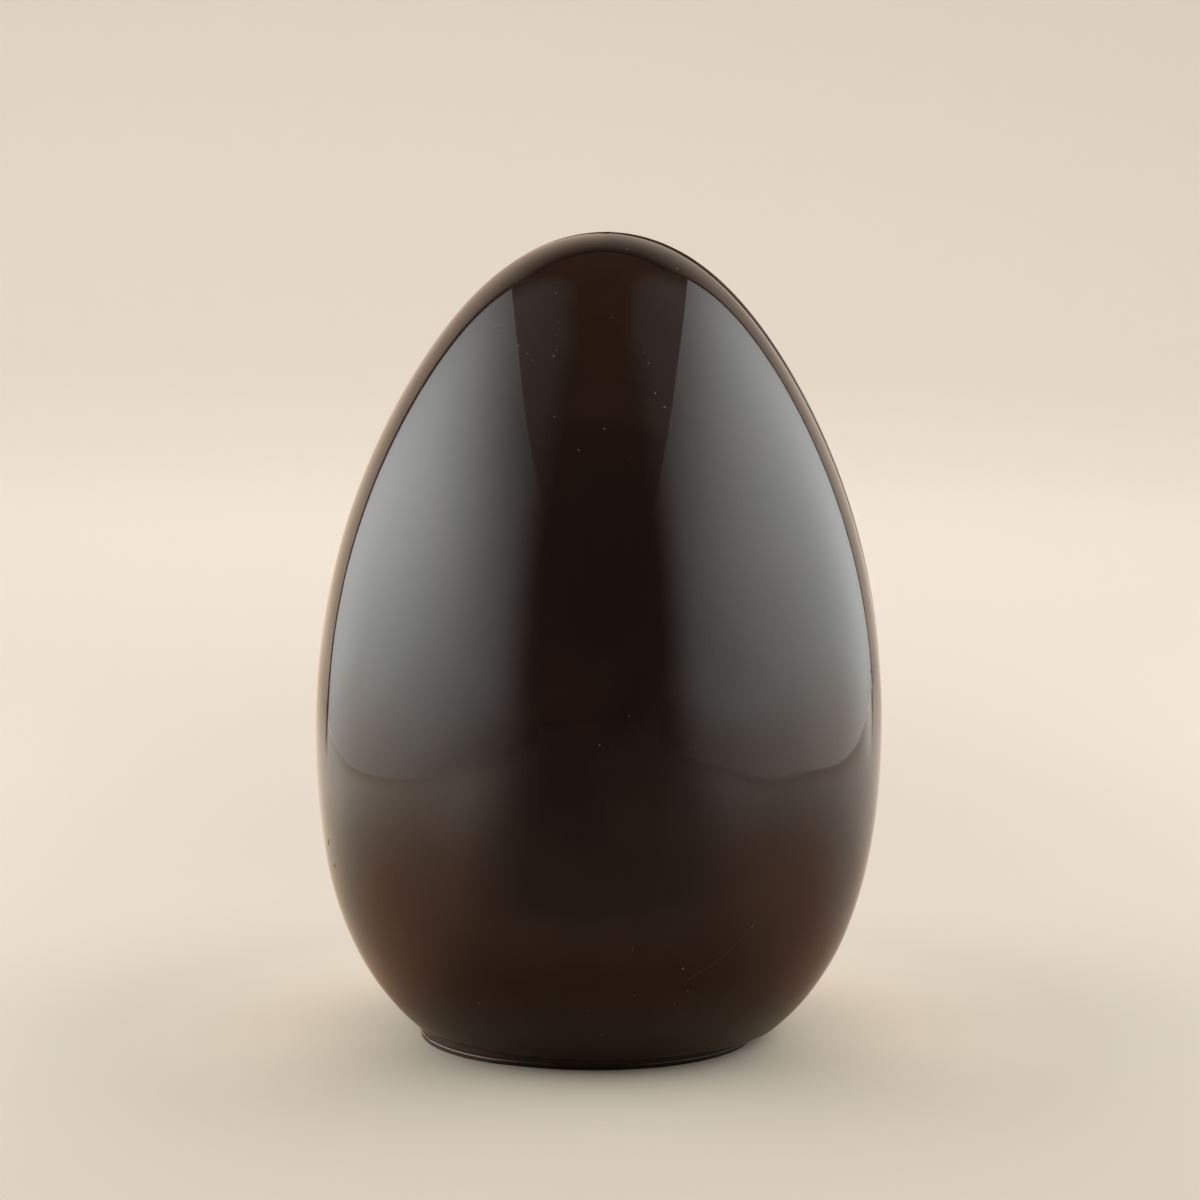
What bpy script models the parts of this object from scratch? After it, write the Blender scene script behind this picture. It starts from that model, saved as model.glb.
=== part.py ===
"""A moulded egg of dark chocolate, standing upright on a thin chocolate foot.

The egg is two half eggs, a front one at -Y and a rear one at +Y, joined at an upright seam in
the XZ plane. The bottom of the egg is cut flat, and a foot is stuck under it a little off centre.
Nothing is known of the inside, so each piece is solid. Metres, +Z up. The origin is on the
table, under the middle of the egg where it is widest.
"""

import math

import bmesh
import bpy
from mathutils import Euler, Matrix, Vector

MM = 0.001

# The whole egg, as its mould shapes it, before its bottom is cut flat.
EGG_HEIGHT = 150.0 * MM  # from the table to the top
EGG_BELOW_TABLE = 9.4 * MM  # what the whole egg would reach below the table
EGG_RADIUS = 52.2 * MM  # half the width of the ellipse that the egg grows from
# How much wider than that ellipse the egg is, by the first to fifth power of the place along its
# axis, which runs from -1 at the blunt end to +1 at the top: the first term makes the egg taper.
EGG_SWELL = (-0.139, 0.059, -0.189, 0.052, 0.116)
WIDEST_LEVEL = 58.0 * MM

# How the halves stand. Each turns about Y at its widest level: a positive turn leans the top to +X.
LEAN = math.radians(0.75)
REAR_TURN = math.radians(0.39)  # the rear half was joined turned this much further
REAR_LIFT = 0.17 * MM  # and this much higher
JOINT_GAP = 0.3 * MM  # between pieces that touch
BASE_LEVEL = 2.2 * MM  # where the bottom of the egg is cut flat
EDGE_ROUND = 0.4 * MM
EDGE_SEGMENTS = 2
SHARP_ANGLE = math.radians(35)

# The foot: a thin disc with a rounded lip, a crease over the lip, and a step up to the egg.
FOOT_RADIUS = 32.2 * MM
FOOT_SHIFT = (-1.3 * MM, -1.7 * MM)  # along X and Y: it shows at the front left, and hides at the right
FOOT_UNEVEN = 0.45 * MM  # how far its hand-poured outline strays from a circle
FOOT_WAVES = ((2, 5.5, 0.55), (3, 4.35, 1.0))  # (waves round the foot, phase, share) of that
LIP_HEIGHT = 1.1 * MM
LIP_ROUND = 0.3 * MM
CREASE_DEPTH = 0.45 * MM

EGG_SEGMENTS = 80  # around the egg
EGG_RINGS = 48  # from the blunt end to the top
FOOT_SEGMENTS = 72

CHOCOLATE_IOR = 1.42
SHELL_COLOR = (0.021, 0.0105, 0.0068, 1.0)
SHELL_ROUGHNESS = 0.12
FOOT_COLOR = (0.025, 0.0125, 0.0080, 1.0)
FOOT_ROUGHNESS = 0.2


def clear_scene():
    for obj in list(bpy.data.objects):
        bpy.data.objects.remove(obj)


def chocolate(name, color, roughness):
    material = bpy.data.materials.new(name)
    material.use_nodes = True
    shader = material.node_tree.nodes["Principled BSDF"]
    shader.inputs["Base Color"].default_value = color
    shader.inputs["Roughness"].default_value = roughness
    shader.inputs["Metallic"].default_value = 0.0
    shader.inputs["IOR"].default_value = CHOCOLATE_IOR
    return material


def add_object(name, bm, material):
    """Make the object of a finished shape. The smooth walls stay smooth, and the edges sharp."""
    bmesh.ops.recalc_face_normals(bm, faces=bm.faces)
    mesh = bpy.data.meshes.new(name)
    bm.to_mesh(mesh)
    bm.free()
    mesh.shade_smooth()
    mesh.set_sharp_from_angle(angle=SHARP_ANGLE)
    mesh.materials.append(material)
    obj = bpy.data.objects.new(name, mesh)
    bpy.context.collection.objects.link(obj)
    return obj


def egg_swell(place):
    """How much wider the egg is than its ellipse at a place from -1 to +1 along its axis."""
    return 1 + sum(term * place ** (power + 1) for power, term in enumerate(EGG_SWELL))


def whole_egg():
    """The egg about its own axis, with its height measured from the widest level."""
    half_length = (EGG_HEIGHT + EGG_BELOW_TABLE) / 2
    middle = EGG_HEIGHT - half_length - WIDEST_LEVEL
    bm = bmesh.new()
    bmesh.ops.create_uvsphere(
        bm, u_segments=EGG_SEGMENTS, v_segments=EGG_RINGS, radius=1
    )
    for vert in bm.verts:
        place = vert.co.z
        width = EGG_RADIUS * egg_swell(place)
        vert.co = Vector((vert.co.x * width, vert.co.y * width, middle + half_length * place))
    return bm


def cut_flat(bm, point, outwards):
    """Cut away what lies beyond a plane, and close the cut with one flat face."""
    bmesh.ops.bisect_plane(
        bm,
        geom=bm.verts[:] + bm.edges[:] + bm.faces[:],
        plane_co=point,
        plane_no=outwards,
        clear_outer=True,
    )
    rim = [edge for edge in bm.edges if edge.is_boundary]
    bmesh.ops.edgeloop_fill(bm, edges=rim)


def half_egg(name, side, turn, lift, material):
    """One half egg: side is -1 for the front half and +1 for the rear half."""
    stance = Matrix.LocRotScale(
        Vector((0, side * JOINT_GAP / 2, WIDEST_LEVEL + lift)), Euler((0, turn, 0)), None
    )
    to_half = stance.inverted()
    down = to_half.to_3x3() @ Vector((0, 0, -1))
    bm = whole_egg()
    cut_flat(bm, Vector((0, 0, 0)), Vector((0, -side, 0)))
    cut_flat(bm, to_half @ Vector((0, 0, BASE_LEVEL)), down)
    half = add_object(name, bm, material)
    half.matrix_world = stance
    rounding = half.modifiers.new("rounded edges", "BEVEL")
    rounding.limit_method = "ANGLE"
    rounding.angle_limit = SHARP_ANGLE
    rounding.width = EDGE_ROUND
    rounding.segments = EDGE_SEGMENTS
    return half


def foot_outline():
    """The foot's side as (height, inset from its radius), from the table up to its top."""
    top = BASE_LEVEL - JOINT_GAP
    return (
        (0, LIP_ROUND),
        (LIP_ROUND, 0),
        (LIP_HEIGHT - LIP_ROUND, 0),
        (LIP_HEIGHT, CREASE_DEPTH),
        (top - LIP_ROUND, LIP_ROUND / 2),
        (top, 0),
    )


def foot_ring(bm, height, inset):
    """One level of the foot, as a closed loop of edges with a slightly uneven outline."""
    verts = []
    for step in range(FOOT_SEGMENTS):
        angle = math.tau * step / FOOT_SEGMENTS
        stray = sum(
            share * math.sin(count * angle + phase) for count, phase, share in FOOT_WAVES
        )
        radius = FOOT_RADIUS + FOOT_UNEVEN * stray - inset
        x = FOOT_SHIFT[0] + radius * math.cos(angle)
        y = FOOT_SHIFT[1] + radius * math.sin(angle)
        verts.append(bm.verts.new((x, y, height)))
    return [
        bm.edges.new((vert, verts[(step + 1) % FOOT_SEGMENTS]))
        for step, vert in enumerate(verts)
    ]


def foot_disc(name, material):
    bm = bmesh.new()
    rings = [foot_ring(bm, height, inset) for height, inset in foot_outline()]
    for lower, upper in zip(rings, rings[1:]):
        bmesh.ops.bridge_loops(bm, edges=lower + upper)
    bmesh.ops.edgeloop_fill(bm, edges=rings[0])
    bmesh.ops.edgeloop_fill(bm, edges=rings[-1])
    return add_object(name, bm, material)


def main():
    clear_scene()
    shell = chocolate("dark_chocolate_shell", SHELL_COLOR, SHELL_ROUGHNESS)
    base = chocolate("dark_chocolate_foot", FOOT_COLOR, FOOT_ROUGHNESS)
    half_egg("half_front", -1, LEAN, 0, shell)
    half_egg("half_rear", 1, LEAN + REAR_TURN, REAR_LIFT, shell)
    foot_disc("foot", base)


main()
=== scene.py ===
"""The finished surfaces of a moulded dark chocolate egg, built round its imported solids.

Two glossy half eggs are joined at an upright seam, cut flat below and stuck on a thin foot that
was poured by hand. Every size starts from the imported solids. Metres, +Z up, the front at -Y.
"""

import math
import random

import bmesh
import bpy
import numpy as np
from mathutils import Euler, Matrix, Vector, noise


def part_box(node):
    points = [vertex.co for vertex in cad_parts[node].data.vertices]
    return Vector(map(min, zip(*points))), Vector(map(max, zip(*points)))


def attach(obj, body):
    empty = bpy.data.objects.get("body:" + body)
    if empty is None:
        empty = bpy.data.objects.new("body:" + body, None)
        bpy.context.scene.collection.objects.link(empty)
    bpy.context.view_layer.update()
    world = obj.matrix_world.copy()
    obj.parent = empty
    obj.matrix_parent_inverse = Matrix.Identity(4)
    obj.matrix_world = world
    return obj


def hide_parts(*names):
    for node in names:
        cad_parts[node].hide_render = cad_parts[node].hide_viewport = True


bl_info = {
    "name": "Dark Chocolate Egg",
    "version": (1, 0, 0),
    "blender": (4, 5, 0),
    "location": "View3D > Sidebar > Chocolate Egg",
    "description": "Builds a glossy moulded egg of dark chocolate on its foot",
    "category": "Add Mesh",
}

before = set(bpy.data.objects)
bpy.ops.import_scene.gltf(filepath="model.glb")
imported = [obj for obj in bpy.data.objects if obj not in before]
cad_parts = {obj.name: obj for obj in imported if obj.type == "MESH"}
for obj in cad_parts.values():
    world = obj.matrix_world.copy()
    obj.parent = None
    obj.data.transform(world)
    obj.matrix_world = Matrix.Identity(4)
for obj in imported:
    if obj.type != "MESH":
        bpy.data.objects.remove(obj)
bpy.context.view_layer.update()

MM = 0.001
FRONT = -1  # the two halves, by their side of the seam along Y
REAR = 1

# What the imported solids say.
front_low, front_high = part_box("half_front")
rear_low, rear_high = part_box("half_rear")
foot_low, foot_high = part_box("foot")
EGG_TOP = front_high.z
BASE_LEVEL = front_low.z
HALF_WIDTH = (front_high.x - front_low.x) / 2
SEAM_GAP = rear_low.y - front_high.y

# The outline that both halves share. The swell is how much wider the egg is than an ellipse, by
# the first to fifth power of the place along its axis, from -1 at the blunt end to +1 at the top.
EGG_SWELL = (-0.139, 0.059, -0.189, 0.052, 0.116)
EGG_BELOW_TABLE = 9.4 * MM  # what the whole egg would reach below the table
WIDEST_LEVEL = 58.0 * MM  # each half leans about this level

# The foot's outline strays from a circle by these waves: (waves round the foot, phase, share).
FOOT_WAVES = ((2, 5.5, 0.55), (3, 4.35, 1.0))

# The clearest pale specks, as (x, z) in millimetres on the front half.
CLEAR_SPECKS = (
    (-8.0, 130.2),
    (10.1, 124.0),
    (11.7, 121.6),
    (-3.5, 114.5),
    (5.2, 147.8),
    (14.3, 144.3),
    (-17.4, 134.1),
    (-21.6, 13.8),
    (33.1, 10.4),
    (15.1, 21.7),
    (16.0, 17.1),
    (-45.6, 43.9),
)
# Where the finer specks lie: (half, x, z, spread, share), in millimetres.
SPECK_ZONES = (
    (FRONT, -9, 134, 6, 0.3),
    (FRONT, 2, 124, 9, 0.15),
    (FRONT, 8, 19, 9, 0.2),
    (FRONT, -5, 60, 20, 0.1),
    (REAR, 6, 118, 12, 0.15),
    (REAR, -8, 30, 14, 0.1),
)
# Hairlines on the front half: (start, bend, end), each as (x, z) in millimetres.
HAIRLINES = (
    ((27.7, 28.8), (22.5, 22.5), (15.7, 19.3)),
    ((-24.6, 131.1), (-20.5, 134.0), (-16.8, 135.2)),
)
# Dark scuffs on the front half: (x, z, length, width) in millimetres, and a turn in degrees.
SCUFFS = ((49.8, 70.8, 1.5, 0.3, 25), (-49.9, 38.6, 1.6, 0.3, 80), (-48.6, 34.5, 0.9, 0.2, 75))

# The seam's weld, from its side to its crest: (share of half its width, depth in millimetres).
WELD_PROFILE = ((-1.0, 1.2), (-1.0, 0.12), (-0.45, 0.02), (0.0, 0.0))
WELD_OVERLAP = 0.3 * MM  # how far that weld reaches under each half

# The foot's lip swells up and dies away over these degrees round the foot, from +X.
LIP_SWELLS = (95, 130)
LIP_FADES = (228, 250)
# The degrees round the lip's section where its rings lie, below and above its middle.
LIP_BELOW = (-80, -60, -40, -20, 0)
LIP_ABOVE = (0, 18, 36, 54, 72)
# How far the lumps that pouring leaves push the foot's side out, and lift it.
LUMP_REACH = 0.16 * MM
FINE_LUMP_REACH = 0.05 * MM
LUMP_RISE = 0.05 * MM

# How finely the meshes are laid out.
SEAM_STEPS = 8  # columns that round off each edge at the seam
SEAM_BESIDE = (1.6, 2.6)  # where the next two columns lie, as shares of that rounding
SEAM_SPREAD = math.radians(3.2)  # the angle that all of these columns take near the top
EGG_COLUMNS = 132
EGG_ROWS = 176
FIRST_ROW = 0.012  # where those rows start, as a share of the way up from the cut base
BASE_ROWS = (0.12, 0.24, 0.36, 0.48)  # more rows by the cut edge, as shares of FIRST_ROW
FOOT_STATIONS = 288
SEAM_STATIONS = 360
FOOT_WELD_RINGS = 9
HAIRLINE_STEPS = 25
DOME_SIDES = 10
DOME_RINGS = ((1.0, -0.3), (0.85, 0.5), (0.45, 0.9))  # (share of its reach, share of its rise)

# The table sweeps up into a backdrop behind the egg.
TABLE_REACH = 3.5  # to the front and to both sides
SWEEP_START = 1.2
SWEEP_RADIUS = 0.5
SWEEP_STEPS = 12
BACKDROP_TOP = 2.4

# The soft lights beside the egg, and the cards behind them.
PANEL_FRONT = -0.7  # where both of them start, along Y
CARD_HEIGHT = 2.2
CARD_BEHIND = 4 * MM  # from a light to its card
CARD_PAST = 25 * MM  # how far a card reaches past the back of its light

# Painted reflections: tints of the table that only the egg's mirror rays see, painting the light and
# shade that the egg mirrors, as shares of the table's red, green and blue. A pair is for the left and
# the right of the egg.
NEAR_FRONT = (1.25, 0.72, 0.48)
NEAR_BACK = (1.06, 0.9, 0.75)
AWAY = (1.9, 1.8, 1.8)
BOTH_SIDES = ((1.2, 1.16, 1.12), (0.86, 0.82, 0.84))
BELOW_LIGHTS = ((1.9, 1.72, 1.62), (1.28, 1.17, 1.14))
WALL = ((1.44, 1.27, 1.14), (1.12, 1.03, 0.98))
WALL_HIGH = (0.3, 0.22, 0.15)
WALL_TOP = (0.07, 0.045, 0.03)
BESIDE_STRIP = (1.75, 1.8, 1.85)
STRIP = (0.1, 0.08, 0.07)
CLOSE_FRONT_SHADE = (0.56, 0.26, 0.11)
SHADE_BY_THE_FOOT = (0.75, 0.58, 0.42)
UNLIT_NEAR = (0.4, 0.29, 0.25)
UNLIT_FAR = (0.13, 0.115, 0.125)
# Painted light on the table where it is seen directly, in the same shares: lighter by the egg, where
# it fills in the egg's shadow, and less so in front.
SEEN_AROUND = (1.18, 1.13, 1.12)
PAINTED_LIGHT_BY_THE_EGG = (1.5, 1.38, 1.28)
SEEN_IN_FRONT = (1.06, 1.0, 0.94)

# Colours of light.
CLOTH_LOW = (0.84, 0.75, 0.66)  # of the lights beside the egg, low down
CLOTH_CLEAR = (0.96, 1.0, 0.975)
TABLE_LIGHT = (1.0, 0.985, 0.955)
CARD_GLOW_LOW = (0.5, 0.46, 0.42)
CARD_GLOW_HIGH = (0.26, 0.14, 0.075)
CEILING_GLOW = (0.28, 0.15, 0.08)
PALE_ROOM = (0.78, 0.72, 0.62)  # what the camera sees of the room
BLACK = (0.0, 0.0, 0.0)
WHITE = (1.0, 1.0, 1.0)


def swell(place):
    """How much wider the egg is than its ellipse at a place from -1 to +1 along its axis."""
    return 1 + sum(term * place ** (power + 1) for power, term in enumerate(EGG_SWELL))


def widest_share():
    """The egg's greatest half width, as a share of its ellipse's."""
    places = np.linspace(-1, 1, 2001)
    return float(np.max(np.sqrt(1 - places**2) * swell(places)))


def length_property(label, description, default, precision=3):
    return bpy.props.FloatProperty(
        name=label,
        description=description,
        default=default,
        precision=precision,
        unit="LENGTH",
        subtype="DISTANCE",
    )


def share_property(label, description, default, low=0.0, high=1.0):
    return bpy.props.FloatProperty(
        name=label, description=description, default=default, min=low, max=high
    )


def angle_property(label, description, degrees):
    return bpy.props.FloatProperty(
        name=label,
        description=description,
        default=math.radians(degrees),
        unit="ROTATION",
        subtype="ANGLE",
    )


def color_property(label, description, default):
    return bpy.props.FloatVectorProperty(
        name=label,
        description=description,
        default=default,
        size=3,
        min=0.0,
        max=1.0,
        subtype="COLOR",
    )


class EggShape(bpy.types.PropertyGroup):
    """Sizes of the two half eggs and of the joint between them."""

    top: length_property("Top", "Height of the egg's top above the table", EGG_TOP)
    half_width: length_property("Half width", "Half of the egg's greatest width", HALF_WIDTH)
    lean: angle_property("Lean", "How far the egg leans towards +X", 0.75)
    rear_turn: angle_property("Rear turn", "How much further the rear half leans", 0.39)
    rear_lift: length_property("Rear lift", "How much higher the rear half sits", 0.17 * MM, 5)
    seam_round: length_property("Seam edge", "Rounding of the edges at the seam", 0.42 * MM, 5)
    base_round: length_property("Base edge", "Rounding of the cut edge", 0.3 * MM, 5)
    ripple: length_property("Ripple", "Height of the soft waves in the shell", 0.08 * MM, 6)
    weld_sink: length_property("Weld depth", "How deep the seam's weld lies", 0.16 * MM, 5)


class FootShape(bpy.types.PropertyGroup):
    """Sizes of the foot and of the melted chocolate that holds it on."""

    radius: length_property("Radius", "Mean radius of the foot", 32.2 * MM)
    uneven: length_property("Uneven", "How far the outline strays from a circle", 0.45 * MM, 5)
    lip_height: length_property("Lip height", "Height of the rounded lip", 1.1 * MM, 5)
    lip_round: length_property("Lip rounding", "Rounding of the lip", 0.34 * MM, 5)
    crease: length_property("Crease", "Depth of the crease above the lip", 0.45 * MM, 5)
    recess: length_property("Recess", "How far the wall stands back", 0.35 * MM, 5)
    undercut: length_property("Undercut", "How far the plain wall leans in below", 0.8 * MM, 5)


class Marks(bpy.types.PropertyGroup):
    """Sizes of the small marks on the shell."""

    specks: bpy.props.IntProperty(name="Specks", description="Number of fine specks", default=34)
    speck_size: length_property("Speck size", "Width of the largest speck", 0.45 * MM, 5)
    hairline: length_property("Hairline", "Width of a hairline", 0.07 * MM, 6)


class ChocolateFinish(bpy.types.PropertyGroup):
    """Colours and gloss of the chocolate."""

    shell_color: color_property("Shell", "Colour of the moulded shell", (0.0106, 0.0048, 0.0034))
    bloom_color: color_property("Bloom", "Colour where the shell is cloudy", (0.019, 0.0090, 0.0062))
    foot_color: color_property("Foot", "Colour of the poured foot", (0.04, 0.018, 0.0105))
    speck_color: color_property("Specks", "Colour of the pale specks", (0.085, 0.066, 0.055))
    hairline_color: color_property("Hairlines", "Colour of the hairlines", (0.05, 0.035, 0.028))
    gloss: share_property("Roughness", "Roughness of the moulded shell", 0.05)
    haze: share_property("Haze", "Roughness where the shell is hazy", 0.22)
    # The weld's own colour, also painted on the rounded edges at the seam and the cut base as painted
    # light, a paler lit line.
    weld_and_edge_light_color: color_property("Seam", "Colour of the edges at the seam", (0.05, 0.02, 0.0085))
    foot_gloss: share_property("Foot roughness", "Roughness of the foot's lip", 0.15)
    foot_dullness: share_property("Dull roughness", "Roughness of the foot where it is dull", 0.2)
    # The scuffs' own colour, also painted on the foot's front and right as painted shade, where the
    # foot lies in shadow.
    scuff_and_shade_color: color_property("Dull", "Colour of the foot where it is dull", (0.006, 0.003, 0.002))
    index: share_property("Index", "Index of refraction of the chocolate", 1.42, 1.0, 2.0)


class Studio(bpy.types.PropertyGroup):
    """The table, the lights and the camera."""

    table_color: color_property("Table", "Colour of the table by the egg", (0.285, 0.268, 0.235))
    backdrop_color: color_property("Backdrop", "Colour of the table far away", (0.67, 0.625, 0.56))
    camera_distance: length_property("Camera distance", "From the egg's axis to the camera", 0.92013)
    camera_height: length_property("Camera height", "Above the table", 0.21899)
    camera_pitch: angle_property("Camera pitch", "How far the camera looks down", 8.487)
    camera_side: length_property("Camera side", "How far the camera stands to +X", 0.00026, 5)
    panel_side: length_property("Panel distance", "From the egg's axis to each light", 0.31)
    left_light: share_property("Left light", "Brightness of the left light", 5.8, 0.0, 100.0)
    right_light: share_property("Right light", "Brightness of the right light", 4.4, 0.0, 100.0)
    table_light: share_property("Table light", "Power of the light over the table", 150.0, 0.0, 500.0)
    surround: share_property("Surroundings", "Brightness of the dim room", 0.045)


class ChocolateEgg(bpy.types.PropertyGroup):
    """Everything that can be set about the egg."""

    shape: bpy.props.PointerProperty(type=EggShape)
    foot: bpy.props.PointerProperty(type=FootShape)
    marks: bpy.props.PointerProperty(type=Marks)
    finish: bpy.props.PointerProperty(type=ChocolateFinish)
    studio: bpy.props.PointerProperty(type=Studio)


# ---------------------------------------------------------------------------- meshes


def add_piece(name, mesh, material, node=None):
    """Put a finished mesh in the scene, riding on the egg."""
    mesh.materials.append(material)
    piece = bpy.data.objects.new(name, mesh)
    bpy.context.scene.collection.objects.link(piece)
    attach(piece, "root")
    if node:
        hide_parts(node)


def mesh_from(name, points, faces):
    """A smooth mesh of these points and faces, with its faces turned outwards."""
    mesh = bpy.data.meshes.new(name)
    mesh.from_pydata(np.asarray(points).tolist(), [], faces)
    bm = bmesh.new()
    bm.from_mesh(mesh)
    bmesh.ops.remove_doubles(bm, verts=bm.verts, dist=1e-7)
    bmesh.ops.recalc_face_normals(bm, faces=bm.faces)
    bm.to_mesh(mesh)
    bm.free()
    mesh.shade_smooth()
    return mesh


def grid_faces(rows, columns, closed=False):
    """Quads between the points of a grid that is stored row by row."""
    faces = []
    for row in range(rows - 1):
        for column in range(columns if closed else columns - 1):
            beside = (column + 1) % columns
            faces.append(
                (
                    row * columns + column,
                    row * columns + beside,
                    (row + 1) * columns + beside,
                    (row + 1) * columns + column,
                )
            )
    return faces


def tube_mesh(name, rings):
    """A mesh of closed rings with as many points each, and with both of its ends filled."""
    count, around = rings.shape[:2]
    faces = grid_faces(count, around, closed=True)
    faces.append(tuple(range(around)))
    faces.append(tuple((count - 1) * around + step for step in range(around)))
    return mesh_from(name, rings.reshape(-1, 3), faces)


def soft_noise(points, size, seed):
    """Smooth noise from about -1 to 1 at each point, with waves of about this size."""
    offset = Vector((seed * 7.31, seed * 3.17, seed * 5.93))
    flat = points.reshape(-1, 3) / size
    values = [noise.noise(Vector(point) + offset) for point in flat.tolist()]
    return np.array(values).reshape(points.shape[:-1])


def ease(low, high, value):
    """A smooth step from 0 at low to 1 at high."""
    share = np.clip((value - low) / (high - low), 0, 1)
    return share * share * (3 - 2 * share)


# ---------------------------------------------------------------------------- half eggs


class EggOutline:
    """The egg of revolution that both halves are cut from, about its own axis."""

    def __init__(self, shape):
        self.half_length = (shape.top + EGG_BELOW_TABLE) / 2
        self.middle = shape.top - self.half_length - WIDEST_LEVEL
        self.ellipse = shape.half_width / widest_share()

    def width(self, place):
        return self.ellipse * np.sqrt(np.maximum(1 - place**2, 0)) * swell(place)

    def level(self, place):
        return self.middle + self.half_length * place

    def slope(self, place):
        """How the width changes with the level."""
        step = 1e-4
        low = np.clip(place - step, -1, 1)
        high = np.clip(place + step, -1, 1)
        rise = np.maximum(self.level(high) - self.level(low), 1e-12)
        return (self.width(high) - self.width(low)) / rise


def stance(shape, side):
    """Where a half egg stands, as the solids do."""
    turn = shape.lean
    lift = 0.0
    if side == REAR:
        turn += shape.rear_turn
        lift = shape.rear_lift
    place = Vector((0, side * SEAM_GAP / 2, WIDEST_LEVEL + lift))
    return Matrix.LocRotScale(place, Euler((0, turn, 0)), None)


def seam_offsets(rounding):
    """Distances from the seam of the columns by its edge: those that round it divide the arc."""
    turn = np.linspace(0, math.pi / 2, SEAM_STEPS)
    arc = rounding * (1 - np.cos(turn))
    return np.append(arc, np.multiply(SEAM_BESIDE, rounding))


def column_angles(width, rounding):
    """The angle of each column from the seam, where the egg is this wide."""
    near = seam_offsets(rounding)
    share = np.arange(len(near)) / len(near)
    steep = np.minimum(
        np.arcsin(np.clip(near / np.maximum(width[:, None], 1e-9), 0, 1)),
        SEAM_SPREAD * share,
    )
    middle = np.linspace(SEAM_SPREAD, math.pi - SEAM_SPREAD, EGG_COLUMNS)
    wide = np.broadcast_to(middle, (len(width), EGG_COLUMNS))
    return np.hstack([steep, wide, math.pi - steep[:, ::-1]])


def arc_inset(distance, rounding):
    """How far a rounded edge draws back at this distance from the edge's plane."""
    short = np.clip(rounding - distance, 0, rounding)
    return rounding - np.sqrt(np.maximum(rounding**2 - short**2, 0))


def shell_wave(shape, side, points):
    """How far the soft waves of the shell lift it: they are closer together low down."""
    seed = 5 + side
    broad = soft_noise(points, 30 * MM, seed)
    fine = soft_noise(points, 11 * MM, seed + 20)
    low = 1 - ease(5 * MM, 40 * MM, points[..., 2])
    from_seam = np.abs(points[..., 1])
    from_base = points[..., 2] + WIDEST_LEVEL - BASE_LEVEL
    calm = ease(0, 6 * MM, from_seam) * ease(1 * MM, 6 * MM, from_base)
    return shape.ripple * (broad + low * fine) * calm


def base_places(outline, matrix, rounding):
    """Where each column meets the cut base, along the axis. These differ, because the egg leans."""
    turn = matrix.to_euler().y
    ground = BASE_LEVEL - matrix.translation.z
    columns = 2 * (SEAM_STEPS + len(SEAM_BESIDE)) + EGG_COLUMNS
    place = np.full(columns, (ground - outline.middle) / outline.half_length)
    for _ in range(8):  # each round comes closer to the base
        angle = column_angles(outline.width(place), rounding).diagonal()
        across = outline.width(place) * np.cos(angle)
        level = (ground + math.sin(turn) * across) / math.cos(turn)
        place = (level - outline.middle) / outline.half_length
    return place


def shell_grid(outline, side, start, rounding):
    """Points and normals of a half egg about its own axis, as rows from its base to its top."""
    near_base = FIRST_ROW * np.array(BASE_ROWS)
    share = np.concatenate([[0], near_base, np.linspace(FIRST_ROW, 1, EGG_ROWS)])
    low = np.arccos(-start)
    theta = low[None, :] + (math.pi - low[None, :]) * share[:, None]
    place = -np.cos(theta)
    width = outline.width(place)
    angle = np.empty_like(width)
    for column in range(len(start)):
        angle[:, column] = column_angles(width[:, column], rounding)[:, column]
    across = np.cos(angle)
    deep = side * np.sin(angle)
    slope = outline.slope(place)
    flatness = 1 / np.sqrt(1 + slope**2)
    points = np.stack([width * across, width * deep, outline.level(place)], axis=-1)
    normal = np.stack([across * flatness, deep * flatness, -slope * flatness], axis=-1)
    normal[-1] = (0, 0, 1)
    return points, normal


def round_seam_edge(points, normal, from_seam, side, rounding):
    """Draw the shell in by the seam, a little unevenly, as hand joining leaves it."""
    along = points.copy()
    along[..., 1] = 0
    uneven = 1 + 0.22 * soft_noise(along, 9 * MM, 10 + side)
    inset = arc_inset(from_seam, rounding * uneven)
    flat = normal.copy()
    flat[..., 1] = 0
    return points - flat * inset[..., None]


def round_base_edge(points, rounding):
    """Draw the shell in by the cut base, half as far as a full round would."""
    height = np.maximum(points[..., 2] - BASE_LEVEL, 0)
    inset = arc_inset(height, rounding) * 0.5
    from_axis = np.linalg.norm(points[..., :2], axis=-1, keepdims=True)
    outwards = points[..., :2] / np.maximum(from_axis, 1e-9)
    rounded = points.copy()
    rounded[..., :2] -= outwards * inset[..., None]
    return rounded


def in_place(points, matrix):
    """Points about a half egg's own axis, moved to where it stands."""
    world = np.array(matrix)
    return points @ world[:3, :3].T + world[:3, 3]


def half_egg_points(shape, side):
    """The outer surface of a half egg in place, as rows from its base to its top."""
    outline = EggOutline(shape)
    matrix = stance(shape, side)
    start = base_places(outline, matrix, shape.seam_round)
    points, normal = shell_grid(outline, side, start, shape.seam_round)
    from_seam = np.abs(points[..., 1])
    points = points + normal * shell_wave(shape, side, points)[..., None]
    points = round_seam_edge(points, normal, from_seam, side, shape.seam_round)
    return round_base_edge(in_place(points, matrix), shape.base_round)


def build_half_egg(name, shape, side, material, node):
    points = half_egg_points(shape, side)
    rows, columns = points.shape[:2]
    faces = grid_faces(rows, columns)
    left = [row * columns for row in range(rows)]
    right = [row * columns + columns - 1 for row in range(rows - 1)]
    faces.append(tuple(left + right[::-1]))
    faces.append(tuple(range(columns)))
    mesh = mesh_from(name, points.reshape(-1, 3), faces)
    mesh.set_sharp_from_angle(angle=math.radians(50))
    add_piece(name, mesh, material, node)


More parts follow.
